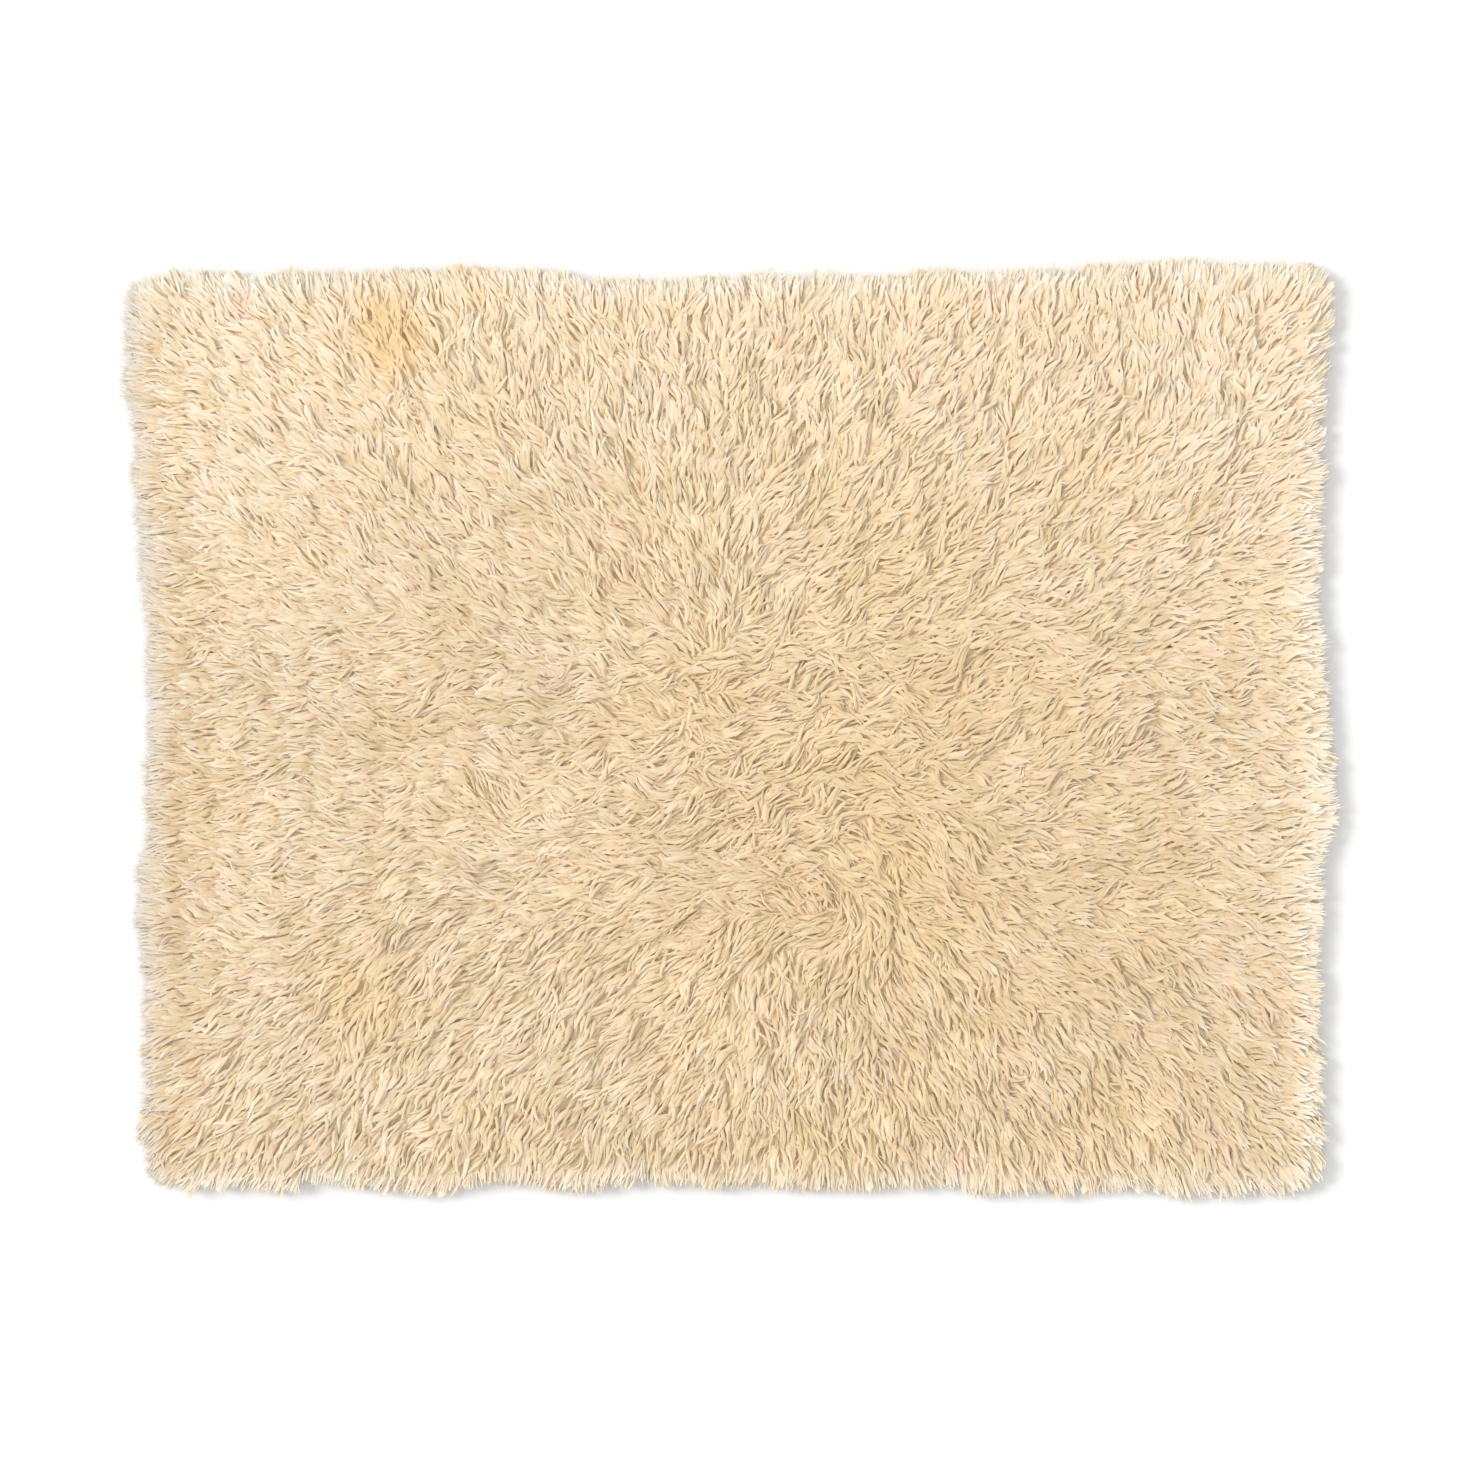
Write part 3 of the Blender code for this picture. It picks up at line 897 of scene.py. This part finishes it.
RIM_BENDS = (1.0, 2.2)  # the fewest and the most half waves in that
RIM_PALES = (0.6, 1.4)  # the least and the most pale a strand is, as shares of what its place asks
CORNER_TUFTS = (
    # how far in from where two sides meet a corner's own locks end, from the one side and from the other
    (0.013, 0.010),
    (0.032, 0.005),
    (0.006, 0.030),
)
RIM_EVEN = 0.5  # how far the tips are drawn to the even line of their side, as a share
RIM_LONGER = (0.002, 0.003, 0.005, -0.003)  # how far past the solid's tips they end: left, right, near, far
RIM_UNEVEN = 0.003  # how unevenly the rim's locks end
RIM_BULGES = (
    # x, y, how far it reaches, and how much further out the rim's locks end there, or less far
    (-1.00, 0.73, 0.090, -0.010),
    (-0.68, 0.75, 0.045, 0.010),
    (-0.34, 0.76, 0.040, 0.006),
    (0.42, 0.77, 0.040, -0.010),
    (0.77, 0.78, 0.050, 0.008),
    (1.00, 0.62, 0.080, -0.007),
    (-0.68, -0.76, 0.035, -0.015),
    (-0.20, -0.77, 0.030, 0.008),
    (-0.13, -0.77, 0.035, -0.012),
    (0.01, -0.77, 0.040, 0.010),
    (0.42, -0.76, 0.040, 0.008),
    (-0.98, 0.39, 0.030, 0.006),
    (-0.97, 0.31, 0.035, -0.006),
    (-0.97, -0.17, 0.035, -0.007),
    (-0.97, -0.24, 0.030, 0.007),
)


def tuft_tips():
    """Where the rim's locks end: near the solid's tips, drawn to their even line, and some in each corner."""
    tips = TIPS + way_at(TIPS, 0) * room(TIPS)[:, None] * RIM_EVEN
    corners = []
    for x, across in ((-HALF[0], left_side), (HALF[0], right_side)):
        for y, upright in ((-HALF[1], near_side), (HALF[1], far_side)):
            meeting = np.array([across(y), upright(x)])
            corners += [meeting - np.array(inwards) * np.sign(meeting) for inwards in CORNER_TUFTS]
    tips = np.concatenate([tips, corners])
    onward = at_edges(tips, RIM_LONGER) + patches(tips, RIM_BULGES)
    onward += np.random.default_rng(12).normal(0, RIM_UNEVEN, len(tips))
    return tips + way_at(tips, 0) * onward[:, None]


def rim_locks(kind, seed):
    """Each lock walked backwards from the solid's tip to its root, and its strands laid beside that line.

    A strand starts at its own place beside the line, and its tip is drawn to that of its small clump. It
    leaves the mat evenly along its length, and the height that its tip reaches is its own, so that the rim is
    a brush nearly as thick as the pile.
    """
    draw = np.random.default_rng(seed)
    place = tuft_tips()
    tufts, members, stations = len(place), kind["members"], kind["stations"]
    still = np.zeros(tufts)
    back = 1 - stations[::-1]
    line = [place]
    for k in range(len(back) - 1):
        place = place - way_at(place, still) * kind["length"] * (back[k + 1] - back[k])
        line.append(place)
    line = np.stack(line[::-1], axis=1)
    ways = way_at(line, still[:, None])
    line, ways = np.repeat(line, members, axis=0), np.repeat(ways, members, axis=0)
    count = tufts * members
    side = np.stack([-ways[..., 1], ways[..., 0]], axis=-1)
    offset = draw.uniform(-1, 1, (count, 1)) * kind["beside"]
    drawn = kind["gather"] * (np.round(offset / CLUMP_PITCH) * CLUMP_PITCH - offset)
    offset = offset + (drawn + kind["cross"] * draw.normal(0, 1, (count, 1))) * ease(stations)
    bow = RIM_BOW * draw.normal(0, 1, (count, 1))
    bow = bow * np.sin(math.pi * stations * draw.uniform(*RIM_BENDS, (count, 1)))
    onward = draw.uniform(-kind["short"], kind["past"], (count, 1))
    flat = line + side * (offset + bow)[..., None] + ways * onward[..., None]
    height = draw.uniform(0, 1, (count, 1)) ** kind["evenly"]
    above = (kind["lowest"] + (kind["highest"] - kind["lowest"]) * height) * stations
    risen = 1 - (1 - np.clip(stations / RISEN_AT, 0, 1)) ** 2
    level = np.maximum(mat_height(flat) - ROOT_DEPTH + (ROOT_DEPTH + above) * risen, RIM_LOWEST)
    locks = finish({"middle": np.concatenate([flat, level[..., None]], axis=-1), "ways": ways}, kind, draw)
    locks["pale"] = np.clip(locks["pale"] * draw.uniform(*RIM_PALES, count), 0, 1)
    return locks


rim = lock_piece("rim_locks", rim_locks(RIM, 9), RIM, combed_wool)
rim_fill = lock_piece("rim_under_locks", rim_locks(RIM_FILL, 11), RIM_FILL, combed_wool)

# The wisps of the rim. The finest fibres stand out of the rim's locks, paler than they are and a little
# further, and make the edge of the rug soft.

WISP = {
    "members": 12,
    "length": 0.046,
    "width": 0.0024,
    "thickness": 0.0018,
    "stations": np.array([0.0, 0.38, 0.80, 1.0]),
    "shape": np.array([0.9, 1.0, 0.75, 0.0]),
    "beside": 0.0175,
    "gather": 0.30,
    "cross": 0.0040,
    "short": 0.002,
    "past": 0.013,
    "lowest": -0.016,
    "highest": 0.006,
    "evenly": 0.4,
    "tone": 0.55,
    "pale": 0.20,
}

wisps = lock_piece("rim_wisps", rim_locks(WISP, 10), WISP, combed_wool)

# The floor, the light and the camera. A plain white studio floor, a broad soft light from the upper left, and
# the camera straight above the rug.

FRAME_WIDTH = 2.40  # what the photograph takes in across the rug
LENS = 85
SENSOR = 36
CAMERA_SHIFT = -0.0025  # how far the camera stands towards the far side
PILE_TOP = 0.03  # the height at which the frame is that wide
FLOOR_SIDE = 14.0
FLOOR_GAP = 0.0004
SKY_COLOUR = (1.0, 0.99, 0.98, 1.0)
SKY_STRENGTH = 0.825
KEY_WAY = (-0.80, 0.22, 0.50)  # from the rug towards the light
KEY_STRENGTH = 2.32
KEY_ANGLE = 26  # how broad the light is, in degrees


def floor_material():
    """Matt white."""
    material, dye = new_material("white_floor")
    sockets = {"Base Color": (0.94, 0.94, 0.94), "Roughness": 0.8, "Specular IOR Level": 0.1}
    dye.add("ShaderNodeOutputMaterial", {}, {"Surface": dye.add("ShaderNodeBsdfPrincipled", {}, sockets)})
    return material


def studio():
    """The floor, an even white sky, a soft sun from the upper left and the camera."""
    corner = FLOOR_SIDE / 2
    corners = [(-corner, -corner), (corner, -corner), (corner, corner), (-corner, corner)]
    floor_points = np.array([(x, y, -FLOOR_GAP) for x, y in corners])
    new_piece("floor", floor_points, [(0, 1, 2, 3)], floor_material())
    world = bpy.data.worlds.new("studio")
    world.use_nodes = True
    world.node_tree.nodes["Background"].inputs["Color"].default_value = SKY_COLOUR
    world.node_tree.nodes["Background"].inputs["Strength"].default_value = SKY_STRENGTH
    bpy.context.scene.world = world
    key_data = bpy.data.lights.new("key", "SUN")
    key_data.angle = math.radians(KEY_ANGLE)
    key_data.energy = KEY_STRENGTH
    key = bpy.data.objects.new("key", key_data)
    key.rotation_euler = Vector(KEY_WAY).to_track_quat("Z", "Y").to_euler()
    bpy.context.scene.collection.objects.link(key)
    camera_data = bpy.data.cameras.new("camera")
    camera_data.lens = LENS
    camera_data.sensor_width = SENSOR
    camera = bpy.data.objects.new("camera", camera_data)
    camera.location = (0.0, CAMERA_SHIFT, FRAME_WIDTH * LENS / SENSOR + PILE_TOP)
    bpy.context.scene.collection.objects.link(camera)
    bpy.context.scene.camera = camera
    bpy.context.scene.view_settings.view_transform = "Standard"


studio()
